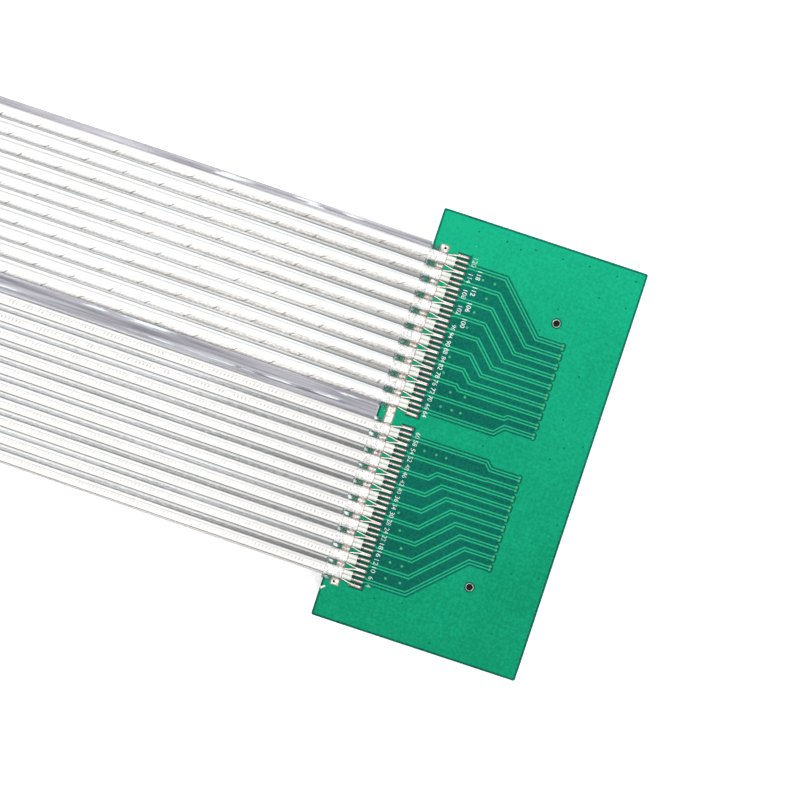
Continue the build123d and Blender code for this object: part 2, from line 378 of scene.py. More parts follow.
def makeFoilGroup():
    # foil tape wound round a pair: the tape's slanted edge once a lay, long creases and a fine crumple
    inputs = {"Lay": 2.0, "Slant": 0.8, "Crease": 1.0}
    group, given, result = newGroup("foilWrap", inputs, ("Edge", "Crease", "Height"))
    place, x, y, _ = ownPlace(group, onMap=True)
    along = x + y * given["Slant"] + noise(place, 0.6, 2.0) * 1.5
    turn = maths("FRACT", along / given["Lay"])
    edge = spread(turn, 0.0, 0.12, 1.0, 0.0) * spread(noise(place, 0.9), 0.42, 0.6)
    creases = spread(noise(place, 1.0, 5.0, (0.7, 5.0, 1.0)), 0.35, 0.65)
    feed(result, "Edge", edge)
    feed(result, "Crease", creases)
    feed(result, "Height", edge + (creases + noise(place, 4.0, 4.0)) * given["Crease"])
    return group


# Painted light and shade across a gap between two pairs, as greys, each with its distance in mm above the gap's middle
gapShadeTones = {
    "upperFar": [(-0.62, 0.69), (-0.52, 0.68), (-0.42, 0.73), (-0.34, 0.9), (-0.15, 0.88), (-0.09, 0.48),
                 (-0.05, 0.22), (0.05, 0.22), (0.11, 0.42), (0.25, 0.66), (0.36, 0.88), (0.43, 0.88), (0.51, 0.76),
                 (0.6, 0.95), (0.75, 0.92), (0.95, 0.7)],
    "upperNear": [(-0.7, 0.69), (-0.55, 0.63), (-0.42, 0.66), (-0.3, 0.94), (-0.16, 0.9), (-0.09, 0.38),
                  (-0.05, 0.12), (0.06, 0.12), (0.12, 0.24), (0.3, 0.25), (0.4, 0.34), (0.55, 0.74), (0.7, 0.74),
                  (0.85, 0.67), (0.98, 0.67), (1.1, 0.68)],
    "lowerFar": [(-1.0, 0.66), (-0.9, 0.6), (-0.84, 0.4), (-0.74, 0.4), (-0.64, 0.74), (-0.45, 0.76), (-0.39, 0.42),
                 (-0.32, 0.38), (-0.22, 0.4), (0.06, 0.46), (0.12, 0.64), (0.19, 0.9), (0.45, 0.86), (0.5, 0.21),
                 (0.56, 0.21), (0.61, 0.9), (0.75, 0.9), (0.9, 0.72)],
    "lowerNear": [(-0.9, 0.66), (-0.8, 0.46), (-0.7, 0.44), (-0.58, 0.68), (-0.44, 0.82), (-0.37, 0.34),
                  (-0.28, 0.2), (-0.2, 0.18), (0.03, 0.18), (0.1, 0.21), (0.2, 0.46), (0.27, 0.84), (0.43, 0.84),
                  (0.48, 0.22), (0.56, 0.19), (0.62, 0.5), (0.75, 0.7), (0.9, 0.68)],
}
# Ranges of |x| from the middle of the ribbons in mm, over which the painted shade lines change, the painted shade at
# the card's edge, and the foil's lap marks
gapShadeAndLapLook = {
    "towardsCard": (58.0, 80.0), "towardsMiddle": (24.0, 58.0), "lowerShift": (40.0, 70.0, 0.07, 0.0), "waver": 0.07,
    "overCard": 0.32, "halfGap": 0.36, "lay": 5.85, "layShift": 2.17, "laySlant": 1.35, "barPitch": 0.56,
    "barSlant": 0.3, "inkShare": 0.85, "upperInk": (0.17, 0.155, 0.145), "lowerInk": (0.19, 0.185, 0.18),
    "endFilm": (0.69, 0.67, 0.68), "cardEdgeShade": (0.04, 0.13, 0.11),
}


def addRamp(distance, stops):
    # painted light and shade over one pitch, from half a pitch below the gap to half a pitch above it, warmer above and
    # cooler inside
    node = addNode(distance.tree, "ValToRGB", {"Fac": spread(distance, -pairPitch / 2, pairPitch / 2)})
    while len(node.color_ramp.elements) < len(stops):
        node.color_ramp.elements.new(0.5)
    for element, (place, tone) in zip(node.color_ramp.elements, stops):
        warmth = 0.03 if place > 0.3 else 0.012 if place < -0.35 else -0.025
        element.position = place / pairPitch + 0.5
        element.color = (tone * (1 + warmth), tone, tone * (1 - warmth), 1)
    return Value(node.outputs[0])


def makeGapLinesGroup(look):
    # painted shade lines across a ribbon, with painted light between them, by the distance above the nearest gap
    # between pairs, deeper near the cards. The foil's lap
    # marks stand over each gap: a slanted stroke once a lay on the upper ribbon, a row of leaning bars on the lower
    inputs = {"Pitch": pairPitch, "First Gap": float(gapCentres[0]), "Lay": look["lay"], "Bar Pitch": look["barPitch"]}
    group, given, result = newGroup("gapShadeAndLaps", inputs, ("Color",))
    place, x, y, _ = ownPlace(group, onMap=True)
    pitch, lower = given["Pitch"], y < 0.0
    turn = maths("FRACT", (abs(y) - given["First Gap"]) / pitch + 0.5) - 0.5
    waver = noise(place, 1.0, 4.0, (0.1, 0.7, 1.0)) - 0.5
    up = turn * pitch * maths("SIGN", y) + waver * look["waver"]
    near = spread(abs(x), *look["towardsCard"])
    middle = spread(abs(x), *look["towardsMiddle"], 1.0, 0.0)
    settle = (spread(near, 0.0, 1.0, -0.02, 0.16) - middle * 0.13) * (1.0 - lower)
    settle = settle + spread(abs(x), *look["lowerShift"]) * lower
    tones = {key: addRamp(up + settle, stops) for key, stops in gapShadeTones.items()}
    tone = mixed(lower, mixed(near, tones["upperFar"], tones["upperNear"]),
                 mixed(near, tones["lowerFar"], tones["lowerNear"]))
    tone = mixed(y > float(pairCentres[-1]) + 0.3, tone, look["endFilm"])
    # painted shade: uneven blotches that deepen the shade lines
    fine = mixed(lower, noise(place, 1.0, 4.0, (1.9, 4.0, 1.0)), noise(place, 1.0, 5.0, (1.1, 6.0, 1.0)))
    slow = noise(place, 1.0, 2.0, (0.05, 0.42, 1.0))
    uneven = spread(fine + (slow - 0.5) * 0.9, 0.35, 0.65)
    fromMiddle = abs(up - spread(lower, 0.0, 1.0, 0.62, -0.14))
    depth = spread(fromMiddle, 0.28, 0.36, 0.75, 0.08) * (1.0 - middle * 0.5)
    tone = mixed(depth, tone, mixed(uneven, (0.4, 0.39, 0.38), (1, 1, 1)), "MULTIPLY")
    # painted shade: the last bit of a gap, from just before the card's edge on, is painted dark
    inCardEdgeShade = (abs(x) > halfSpan - look["overCard"]) * (abs(up) < look["halfGap"])
    tone = mixed(inCardEdgeShade, tone, look["cardEdgeShade"])
    # upper ribbon: one stroke a lay and eight small ones
    band = maths("FLOOR", y / pitch)
    slanted = x + band * look["layShift"] - up * look["laySlant"] + waver * 1.6
    lay = maths("FRACT", slanted / given["Lay"])
    small = spread(maths("FRACT", lay * 8.0), 0.1, 0.3, 0.8, 0.0)
    small = small * (spread(fine, 0.46, 0.56) * spread(lay, 0.3, 0.5, 1.0, 0.35))
    strokes = maths("MAXIMUM", spread(lay, 0.032, 0.052, 1.0, 0.0), small)
    strokes = strokes * spread(up, 0.85, 1.1, 1.0, 0.0) * (up > 0.38)
    # lower ribbon: short bars along each pair, clearest near the card and on the inner pairs
    fromPair = up - maths("SIGN", up) * (pairPitch / 2)
    leaning = (x - fromPair * look["barSlant"]) / given["Bar Pitch"]
    bars = spread(maths("FRACT", leaning + waver * 1.5), 0.25, 0.5, 0.7, 0.0)
    bars = bars * spread(abs(fromPair), 0.12, 0.3, 1.0, 0.0)
    clear = maths("MAXIMUM", spread(near, 0.3, 0.95, 0.5, 1.0), spread(y, -9.0, -6.0))
    bars = bars * (spread(noise(place, 1.0, 3.0, (0.8, 1.0, 1.0)), 0.36, 0.54) * clear)
    ink = mixed(lower, look["upperInk"], look["lowerInk"])
    feed(result, "Color", mixed(mixed(lower, strokes, bars) * look["inkShare"], tone, ink))
    return group


mottle, maskTone, foilWrap, gapShadeAndLaps = makeMottleGroup(), makeMaskGroup(), makeFoilGroup(), makeGapLinesGroup(gapShadeAndLapLook)

# Colours as the photograph shows them under this light, each as its light and its dark tone
greens = {
    "pour": ((0.005, 0.362, 0.192), (0.001, 0.212, 0.102)),
    "bar": ((0.001, 0.162, 0.108), (0.0003, 0.070, 0.050)),
    "trace": ((0.022, 0.41, 0.21), (0.010, 0.30, 0.15)),
    "via": ((0.085, 0.41, 0.19), (0.025, 0.29, 0.13)),
    # bore: near black, painted shade standing for the inside of an open via hole
    "bore": ((0.004, 0.03, 0.022), (0.002, 0.014, 0.010)),
    "cutEdge": ((0.62, 0.55, 0.42), (0.42, 0.36, 0.26)),
}
maskThickness = 0.04


def makeMaskMaterial(name, tone, weave, paintedLightSlope, overEdge=False):
    material, tree, shader = newMaterial(name, Specular_IOR_Level=0.035)
    light, dark = greens[tone]
    mask = addGroup(tree, maskTone, {"Light": light, "Dark": dark, "Weave": weave, "Slope": paintedLightSlope})
    colour, rough = mask["Color"], spread(mask["Value"], 0.0, 1.0, 0.3, 0.42)
    if overEdge:
        # between the two lacquered faces the cut glass and resin shows
        _, x, _, z = ownPlace(tree)
        fromMiddle = abs(z - (boardTop + boardBottom) / 2 * mm)
        cut = fromMiddle < (boardTop - boardBottom) / 2 * mm - maskThickness * mm
        light, dark = greens["cutEdge"]
        edge = addGroup(tree, mottle, {"Light": light, "Dark": dark, "Cloud Scale": 700.0, "Grain Scale": 4000.0})
        colour, rough = mixed(cut, colour, edge["Color"]), maths("MAXIMUM", rough, cut * 0.85)
        # painted shade: the narrow webs between the pads are darkened where shade falls between the pads and wires
        webShade = spread(abs(abs(x) - (halfSpan + padMiddle) * mm), 0.9 * mm, 1.2 * mm, 0.4, 0.0)
        colour = mixed(webShade, mixed(webShade, colour, greens["bar"][1]), (0.45, 0.45, 0.45), "MULTIPLY")
    dress(shader, colour, rough, mask["Height"], 0.2, 0.00006)
    return material


def makeMottledMaterial(name, light, dark, rough, cloud, grain, bump, depth, **values):
    # roughness goes from the first to the second of rough where the colour goes from dark to light
    material, tree, shader = newMaterial(name, **values)
    tone = addGroup(tree, mottle, {"Light": light, "Dark": dark, "Cloud Scale": cloud, "Grain Scale": grain})
    dress(shader, tone["Color"], spread(tone["Value"], 0.0, 1.0, *rough), tone["Height"], bump, depth)
    return material


def makeMetalMaterial(name, light, dark, rough, metallic=1.0, cloud=900.0):
    return makeMottledMaterial(name, light, dark, rough, cloud, 5000.0, 0.4, 0.00006, Metallic=metallic)


def makePlasticMaterial(name, light, dark, rough, specular, bump):
    return makeMottledMaterial(name, light, dark, rough, 500.0, 6000.0, bump, 0.00004, Specular_IOR_Level=specular)


# Foil round the pairs' bare ends: its tape, the painted shade of hollows, painted highlight of crests, tape edge,
# painted shade of wrinkles, and the cut edge
foilLook = {"lay": 1.1, "slant": 0.5, "hollowShade": (0.60, 0.59, 0.57), "crestHighlight": (0.90, 0.89, 0.88),
            "tapeEdge": (0.40, 0.38, 0.36), "wrinkleShade": (0.34, 0.33, 0.32), "cutEdge": (0.40, 0.30, 0.27),
            "cutLength": 0.09}


def makeShieldMaterial(name, look):
    # bare foil end on the ground strip: creased, with painted shade in its hollows and grey wrinkles, painted highlight
    # on its crests, and brown at its cut edge
    material, tree, shader = newMaterial(name, Metallic=0.45)
    wrap = addGroup(tree, foilWrap, {"Lay": look["lay"], "Slant": look["slant"], "Crease": 1.0})
    place, x, _, _ = ownPlace(tree, onMap=True)
    # painted shade in the hollows and painted highlight on the crests of the crease pattern
    tone = mixed(wrap["Crease"], look["hollowShade"], look["crestHighlight"])
    tone = mixed(wrap["Edge"] * 0.4, tone, look["tapeEdge"])
    # painted shade: grey wrinkles across the foil
    tone = mixed(spread(noise(place, 1.0, 3.0, (4.5, 1.2, 1.0)), 0.5, 0.6) * 0.55, tone, look["wrinkleShade"])
    tone = mixed(x > shieldEnd - look["cutLength"], tone, look["cutEdge"])
    dress(shader, tone, spread(wrap["Crease"], 0.0, 1.0, 0.45, 0.28), wrap["Height"], 0.5, 0.00008)
    return material


# Print: its two whites, the flux over it, how far from the card's cable edge flux lies, and the least share of the
# flux's tone on the lower print
inkLook = {"light": (0.88, 0.94, 0.91), "dark": (0.64, 0.74, 0.71), "flux": (0.16, 0.30, 0.25), "fluxReach": 7.2,
           "lowerShare": 0.3}


def makeInkMaterial(name, look):
    # white print, dulled in patches by flux beside the pads; beside the lower pads all of it is a little darker
    material, tree, shader = newMaterial(name, Roughness=0.6, Specular_IOR_Level=0.2)
    tone = addGroup(tree, mottle, {"Light": look["light"], "Dark": look["dark"], "Cloud Scale": 500.0})
    place, x, y, _ = ownPlace(tree)
    beside = abs(x) < (halfSpan + look["fluxReach"]) * mm
    patches = spread(noise(place, 1300.0, 2.0), 0.45, 0.6, 0.0, 0.7)
    dulledShare = beside * maths("MAXIMUM", patches, (x * y < 0.0) * look["lowerShare"])
    dress(shader, mixed(dulledShare, tone["Color"], look["flux"]), None, tone["Height"], 0.2, 0.00004)
    return material


def makeCoveredFoilMaterial(name):
    material, tree, shader = newMaterial(name, Metallic=0.25, Coat_Weight=0.4, Coat_Roughness=0.1)
    # its colour is painted light and shade across the pairs and gaps, with the foil's lap marks
    lines = addGroup(tree, gapShadeAndLaps, {})
    wrap = addGroup(tree, foilWrap, {"Lay": gapShadeAndLapLook["lay"], "Slant": -1.0, "Crease": 0.6})
    dress(shader, lines["Color"], spread(wrap["Crease"], 0.0, 1.0, 0.5, 0.3), wrap["Height"], 0.25, 0.00004)
    return material


# Film: its margins lie nearer to y = 0 than inner and past outer, where it goes from dark to light. Lowest is the
# margin at -y, with a stain along its seam
filmLook = {"inner": 1.36, "outer": 24.64, "dark": (0.15, 0.145, 0.18), "light": (0.47, 0.465, 0.51),
            "creaseGlint": (0.80, 0.88, 0.90), "lowest": (0.72, 0.71, 0.73), "stain": (0.30, 0.25, 0.23), "alpha": 0.92}


def makeFilmMaterial(name, look):
    # painted light and shade of the gaps between the pairs; on the margins a lavender film with a painted highlight on
    # its creases, clearest at -y
    material, tree, shader = newMaterial(name, Roughness=0.15, Coat_Weight=0.4, Coat_Roughness=0.05)
    place, _, y, _ = ownPlace(tree, onMap=True)
    outer = look["outer"]
    margin, lowest = (abs(y) < look["inner"]) + (abs(y) > outer), y < -outer
    streak = noise(place, 1.0, 4.0, (0.05, 2.2, 1.0))
    tint = mixed(spread(streak, 0.36, 0.64), look["dark"], look["light"])
    creaseGlint = Value(addNode(tree, "Attribute", attribute_name="creaseGlint", attribute_type="GEOMETRY").outputs["Fac"])
    # painted highlight: pale streaks on the raised creases
    glintMask = creaseGlint * spread(noise(place, 1.0, 3.0, (0.4, 4.0, 1.0)), 0.3, 0.55)
    tint = mixed(spread(glintMask, 0.12, 0.45), tint, look["creaseGlint"])
    stain = spread(abs(y), outer - 0.02, outer + 0.26, 1.0, 0.0)
    tint = mixed(lowest, tint, mixed(stain, look["lowest"], look["stain"]))
    lines = addGroup(tree, gapShadeAndLaps, {})
    dress(shader, mixed(margin, lines["Color"], tint), None, streak, 0.3, 0.0001)
    feed(shader, "Alpha", look["alpha"] - (margin * 0.2 + (lowest - lowest * stain) * 0.45))
    return material


# Loose film: its tones over the pairs, its painted shade in the gaps and its painted highlight where it curls
tailLook = {"onPair": (0.62, 0.62, 0.61), "gapShadeDark": (0.015, 0.08, 0.07), "gapShadeLight": (0.06, 0.20, 0.17),
            "paintedGlint": (0.86, 0.89, 0.90)}


def makeTailMaterial(name, look):
    # clear film loose over the pairs' ends: faint on the pairs, painted shade in the gaps over the card, painted
    # highlight where it curls
    material, tree, shader = newMaterial(name, Roughness=0.2, Coat_Weight=0.15, Coat_Roughness=0.05)
    place, x, _, _ = ownPlace(tree, onMap=True)
    kind = Value(addNode(tree, "Attribute", attribute_name="gapShadeAndCurlGlint", attribute_type="GEOMETRY").outputs["Fac"])
    inGap, curl = spread(kind, 0.2, 0.9), spread(kind, 1.12, 1.6)
    fine = spread(noise(place, 1.0, 4.0, (8.0, 1.2, 1.0)), 0.55, 0.65)
    cloud = spread(noise(place, 1.0, 4.0, (2.5, 2.5, 1.0)), 0.35, 0.65)
    edge = spread(x, 1.08, 1.16) * 0.4
    # painted highlight: where the film curls, in fine streaks over the pairs and along its end
    paintedGlint = maths("MAXIMUM", curl, maths("MAXIMUM", fine * (1.0 - inGap) * 0.35, edge))
    clear = mixed(inGap, look["onPair"], mixed(cloud, look["gapShadeDark"], look["gapShadeLight"]))
    dress(shader, mixed(paintedGlint, clear, look["paintedGlint"]), None, fine, 0.3, 0.00005)
    # painted shade: in the gaps the film is nearly opaque near the card's edge, less so further on
    shadeVeil = maths("MAXIMUM", inGap * spread(x, 0.0, 0.2, 0.88, 0.45), 0.06)
    feed(shader, "Alpha", maths("MAXIMUM", shadeVeil, paintedGlint * 0.9))
    return material


# Each finish under the name that the pieces use. A metal or a plastic is given by its light and dark tone, then by the
# roughness of the dark and of the light
materials = {
    # a lacquer is given by its name, its greens, its weave and the slope of its painted light towards +y
    "laminate": makeMaskMaterial("maskOverLaminate", "bar", 0.12, 7.0, overEdge=True),
    "pour": makeMaskMaterial("maskOverPour", "pour", 0.12, 13.0),
    "trace": makeMaskMaterial("maskOverTrace", "trace", 0.0, 10.0),
    "via": makeMaskMaterial("maskOverVia", "via", 0.0, 4.0),
    "pit": makeMaskMaterial("maskInPit", "bar", 0.0, 2.0),
    "bore": makeMaskMaterial("paintedShadeBore", "bore", 0.0, 2.0),
    "pad": makeMetalMaterial("pinkPad", (0.38, 0.25, 0.215), (0.17, 0.095, 0.08), (0.6, 0.4), 0.8),
    "solder": makeMetalMaterial("solder", (0.76, 0.64, 0.59), (0.38, 0.28, 0.25), (0.42, 0.22), 0.85),
    "wire": makeMetalMaterial("tinnedWire", (0.88, 0.80, 0.77), (0.68, 0.58, 0.55), (0.34, 0.18), 0.6),
    "stripSolder": makeMetalMaterial("dullSolder", (0.82, 0.785, 0.735), (0.23, 0.2, 0.175), (0.5, 0.35), 0.6, 2200.0),
    "gold": makeMetalMaterial("goldPlating", (0.95, 0.72, 0.34), (0.8, 0.56, 0.22), (0.35, 0.2)),
    "shield": makeShieldMaterial("bareFoil", foilLook),
    "coveredFoil": makeCoveredFoilMaterial("foilUnderFilm"),
    "film": makeFilmMaterial("clearFilm", filmLook),
    "tail": makeTailMaterial("looseFilm", tailLook),
    "core": makePlasticMaterial("whiteInsulation", (0.75, 0.76, 0.715), (0.63, 0.65, 0.605), (0.35, 0.5), 0.4, 0.3),
    "housing": makePlasticMaterial("blackMoulding", (0.012, 0.012, 0.013), (0.006, 0.006, 0.007), (0.45, 0.65), 0.06,
                                   0.35),
    "ink": makeInkMaterial("whiteInk", inkLook),
}
print("materials made:", len(materials))

# Ribbons: the section across ten pairs carried along the route, which repeats the solid's own points as (x, height).
# A crease is (x, y, half length, half width) of a raised fold in a margin, painted pale as a highlight
ribbon = {
    "route": [(-81.85, 5.15), (-61.85, 5.15), (-20.0, 0.5), (20.0, 0.5), (61.85, 5.15), (81.85, 5.15)],
    "humpWidth": 1.7, "humpHeight": 0.9, "squareness": 3.4, "fullness": 0.42, "filmThickness": 0.1, "filmLift": 0.06,
    "drift": 0.65, "outerMargin": 1.85, "innerMargin": 2.8, "pointsPerHump": 13, "pointsPerGap": 3,
    "pointsPerMargin": 12, "ripple": 0.05, "rippleLengths": (6.1, 2.7), "foldHeight": 0.12, "foldReach": 0.35,
    "creases": [
        (52.1, 25.25, 2.4, 0.22), (50.5, 25.0, 1.6, 0.12), (62.9, 25.3, 1.6, 0.14), (64.4, 25.0, 1.2, 0.1),
        (70.1, 25.3, 1.3, 0.12), (46.3, 1.0, 3.6, 0.2), (49.0, -0.55, 4.6, 0.07), (59.0, -0.6, 4.2, 0.08),
        (67.5, -0.45, 2.4, 0.1), (74.5, -0.3, 2.0, 0.13), (77.5, 0.7, 1.6, 0.1), (38.5, 0.9, 1.8, 0.12),
        (-52.0, -25.2, 2.6, 0.2), (-64.0, -25.3, 1.6, 0.14), (-45.5, 0.8, 3.2, 0.16), (-62.0, -0.5, 4.0, 0.09),
        (-73.0, 0.4, 2.2, 0.12), (12.0, 25.2, 2.2, 0.16), (-9.0, 0.6, 3.0, 0.12), (24.0, -0.5, 3.4, 0.09),
    ],
}


def readRoute(points):
    # the line of a NURBS spline with the route's points as control points, read from the curve itself
    data = bpy.data.curves.new("ribbonRoute", "CURVE")
    data.dimensions, data.resolution_u = "3D", 44
    spline = data.splines.new("NURBS")
    spline.points.add(len(points) - 1)
    for point, (x, z) in zip(spline.points, points):
        point.co = (x * mm, 0, z * mm, 1)
    spline.order_u, spline.use_endpoint_u = 3, True
    return meshOfCurve(data)[0] / mm


def humpOutline(t):
    # a pair's outline, a superellipse: (1 - |t|^squareness)^fullness for t from -1 to 1 over its width
    return (1 - np.abs(t) ** ribbon["squareness"]) ** ribbon["fullness"]


def ribbonSection(half, look):
    # y across the ribbon, half the thickness above the film there, and whether the point lies on a pair
    halfWidth, web = look["humpWidth"] / 2, look["filmThickness"] / 2
    t = np.sin(np.linspace(-0.5, 0.5, look["pointsPerHump"]) * np.pi)
    hump = humpOutline(t) * (look["humpHeight"] / 2 - web)
    ys, rises, start = [], [], pairCentres[0] - look["innerMargin"]
    for k, centre in enumerate(pairCentres):
        count = look["pointsPerGap"] if k else look["pointsPerMargin"]
        gap = np.linspace(start, centre - halfWidth, count + 2)[:-1]
        gap = gap[1:] if k else gap
        ys += [gap, centre + t * halfWidth]
        rises += [np.full(len(gap), -1.0), hump]
        start = centre + halfWidth
    last = np.linspace(start, pairCentres[-1] + look["outerMargin"], look["pointsPerMargin"] + 2)[1:]
    y, rise = np.concatenate(ys + [last]), np.concatenate(rises + [np.full(len(last), -1.0)])
    onPair = rise >= 0
    order = slice(None) if half > 0 else slice(None, None, -1)
    return half * y[order], np.maximum(rise, 0)[order], onPair[order]


def makeRibbon(name, half, look):
    # each row is the section, set square to the route, shifted by drift times half a sine, with ripples and folds in
    # its margins
    line = readRoute(look["route"])
    x, z = line[:, 0:1], line[:, 2:3]
    tangent = unit(np.gradient(line, axis=0))
    y, rise, onPair = ribbonSection(half, look)
    web = look["filmThickness"] / 2
    drift = look["drift"] * np.sin(np.pi * (halfSpan - x) / (2 * halfSpan))
    margin = np.abs(y) > pairCentres[-1] + look["humpWidth"] / 2
    long, short = look["rippleLengths"]
    flutter = look["ripple"] * np.sin(x / long + half) * np.sin(x / short + y * 0.9) * margin
    creaseGlint = sum(np.exp(-(((x - cx) / length) ** 2) - ((y - cy) / width) ** 2)
                 for cx, cy, length, width in look["creases"])
    folds = (np.abs(y) < gapCentres[0] + look["foldReach"]) | margin
    creaseGlint = creaseGlint * folds * np.clip((halfSpan - 1 - np.abs(x)) / 2, 0, 1)
    offset = half * look["filmLift"] * ~onPair + flutter + look["foldHeight"] * creaseGlint
    section = np.concatenate([offset + rise + web, (offset - rise - web)[:, ::-1]], axis=1)
    across = np.concatenate([y, y[::-1]])
    points = stacked(x - tangent[:, 2:3] * section, across + drift, z + tangent[:, 0:1] * section)
    rows, columns = section.shape
    wall = gridFaces(rows, columns, closedColumns=True)
    pairEdge = np.concatenate([onPair, onPair[::-1]])
    faceKind = np.tile(~(pairEdge & np.roll(pairEdge, -1)), rows - 1)
    left = np.arange(len(y) - 1)
    cap = stacked(left, left + 1, columns - 2 - left, columns - 1 - left)
    capKind = ~(onPair[1:] & onPair[:-1])
    faces = np.concatenate([wall, cap, cap + (rows - 1) * columns])
    faceKind = np.concatenate([faceKind, capKind, capKind])
    uv = stacked(x, across).reshape(-1, 2)
    # the creases also go to the film as the mask of their painted highlight
    values = ("creaseGlint", np.concatenate([creaseGlint, creaseGlint[:, ::-1]], axis=1).ravel())
    piece = meshPiece(name, points.reshape(-1, 3) * mm, faces, ["coveredFoil", "film"], name, uv, faceKind,
                      values)
    path = stacked(x[:, 0], (y.max() + y.min()) / 2 + drift[:, 0], z[:, 0]) * mm
    return piece, path[::-1], float(np.ptp(y)) * mm


def declareRibbons():
    # each ribbon leaves the near card and ends at the far card
    for name, half in (("ribbon_upper", 1), ("ribbon_lower", -1)):
        piece, path, width = makeRibbon(name, half, ribbon)


declareRibbons()

# Shield ends: foil round each pair from the film's end to the cores, creased and slightly uneven
shields = {"width": 1.6, "height": 0.8, "along": 22, "around": 28, "roundness": 0.75, "crumple": 0.02, "folds": 0.02,
           "most": 1.03, "pinch": 0.05, "pinchLength": 0.2}


def makeShieldEnds(name, side, half, look):
    # a superellipse of width by height at every x, scaled by 1 + crumple noise + folds that run along the pair
    x = np.linspace(filmEnd, shieldEnd, look["along"])
    y, z = [np.sign(way) * np.abs(way) ** look["roundness"] * size / 2
            for way, size in zip(circle(look["around"]), (look["width"], look["height"]))]
    parts = []
    for centre in half * pairCentres:
        scale = 1 + look["crumple"] * softNoise((len(x), len(y))) + look["folds"] * random.normal(size=len(y))
        pinch = look["pinch"] * np.exp(-(((shieldEnd - x)[:, None] / look["pinchLength"]) ** 2))
        scale = np.minimum(scale, look["most"]) - pinch
        height = np.maximum(pairAxis + z * scale, copperTop)
        parts.append(roundBody(stacked(x[:, None], centre + y * scale, height)))
    points, faces = joinMeshes(parts)
    cardPiece(name, side, (points, faces), "shield", name, points[:, :2])


# Cores: two white tubes a pair, side by side, cut a little unevenly; the free end is rounded by (distance, share)
cores = {"diameter": 0.66, "sides": 20, "uneven": 0.05, "end": [(0.08, 1.0), (0.03, 0.985), (0.0, 0.92)]}


def makeCores(name, side, half, look):
    # circles of the core's radius along x
    radius = look["diameter"] / 2
    ring = stacked(0, *circle(look["sides"]))
    parts = []
    for y in half * pairCentres:
        for o in (1, -1):
            end = coreEnd - look["uneven"] * random.random()
            stations = [(shieldEnd, 1.0)] + [(end - back, share) for back, share in look["end"]]
            parts.append(roundBody(np.array([ring * [0, radius * share, radius * share] + [x, y + o * radius, pairAxis]
                                             for x, share in stations])))
    cardPiece(name, side, joinMeshes(parts), "core", name)


# Signal and drain wires, bent down on to their pads; a bend is a corner's (x from the start, y from the pair, height)
wires = {"signal": 0.25, "drain": 0.2, "sides": 10, "tip": 0.1, "drop": 0.45, "stray": 0.03, "inside": 0.08,
         "signalBend": (0.2, 0.36, -0.06), "drainBend": (0.45, 0.06, 0.12), "drainInside": 0.05, "drainBelow": 0.1,
         "apart": 0.01}


def makeSignalWires(name, side, half, look):
    # a tube along a smooth path out of each core, down to its pad and along it
    z = copperTop + look["signal"] / 2
    bendX, bendY, bendZ = look["signalBend"]
    parts = []
    for y in half * pairCentres:
        for o in (1, -1):
            stray = random.normal(0, look["stray"] * 0.7, 2)
            land = y + o * padPitch / 2
            corners = [(coreEnd - look["inside"], y + o * cores["diameter"] / 2, pairAxis),
                       (coreEnd + bendX, y + o * bendY, pairAxis + bendZ),
                       (coreEnd + look["drop"], land + stray[0], z), (padEnd - look["tip"], land + stray[1], z)]
            parts.append(tubeAlong(smoothPath(corners), look["signal"] / 2, look["sides"]))
    cardPiece(name, side, joinMeshes(parts), "wire", name)


def makeDrainWires(name, side, half, look):
    # a tube from each side of a shield to the ground pad that it shares with the next pair
    z = copperTop + look["drain"] / 2
    leave = cores["diameter"] + look["drain"] / 2
    bendX, bendY, bendZ = look["drainBend"]
    parts = []
    for y in half * pairCentres:
        for o in (1, -1):
            stray = random.normal(0, look["stray"], 3)
            land = y + o * ((pairPitch - look["drain"]) / 2 - look["apart"])
            corners = [(shieldEnd - look["drainInside"], y + o * leave, pairAxis - look["drainBelow"]),
                       (shieldEnd + bendX, y + o * (leave + bendY) + stray[0], z + bendZ),
                       (padStart + 0.05, land + stray[1] * 0.3, z),
                       (padEnd - 2 * look["tip"], land + stray[2] * 0.3, z)]
            parts.append(tubeAlong(smoothPath(corners), look["drain"] / 2, look["sides"]))
    cardPiece(name, side, joinMeshes(parts), "wire", name)


# Solder: a low mound along each wire on its pad, fillets beside the shields on the ground strip
solder = {"padWidth": 0.38, "height": 0.15, "heights": (0.7, 1.15), "bead": 0.5, "beadLength": 0.25, "rows": 13,
          "columns": 8, "inset": 0.055, "signalInset": 0.1, "groundInset": 0.035, "sunk": 0.01}
strips = {"step": 0.1, "rows": 14, "inset": 0.09, "fillet": 0.3, "filletWidth": 0.15, "base": 0.04, "lumps": 0.035,
          "bareBeyond": 1.3, "bareBase": 0.02, "bareLumps": 0.012, "ridge": 0.06, "ridgeWidth": 0.08, "least": 0.008}


def solderBody(upper):
    # from the solder's surface down to just inside the copper
    return slab(upper, np.where([False, False, True], copperTop - solder["sunk"], upper))


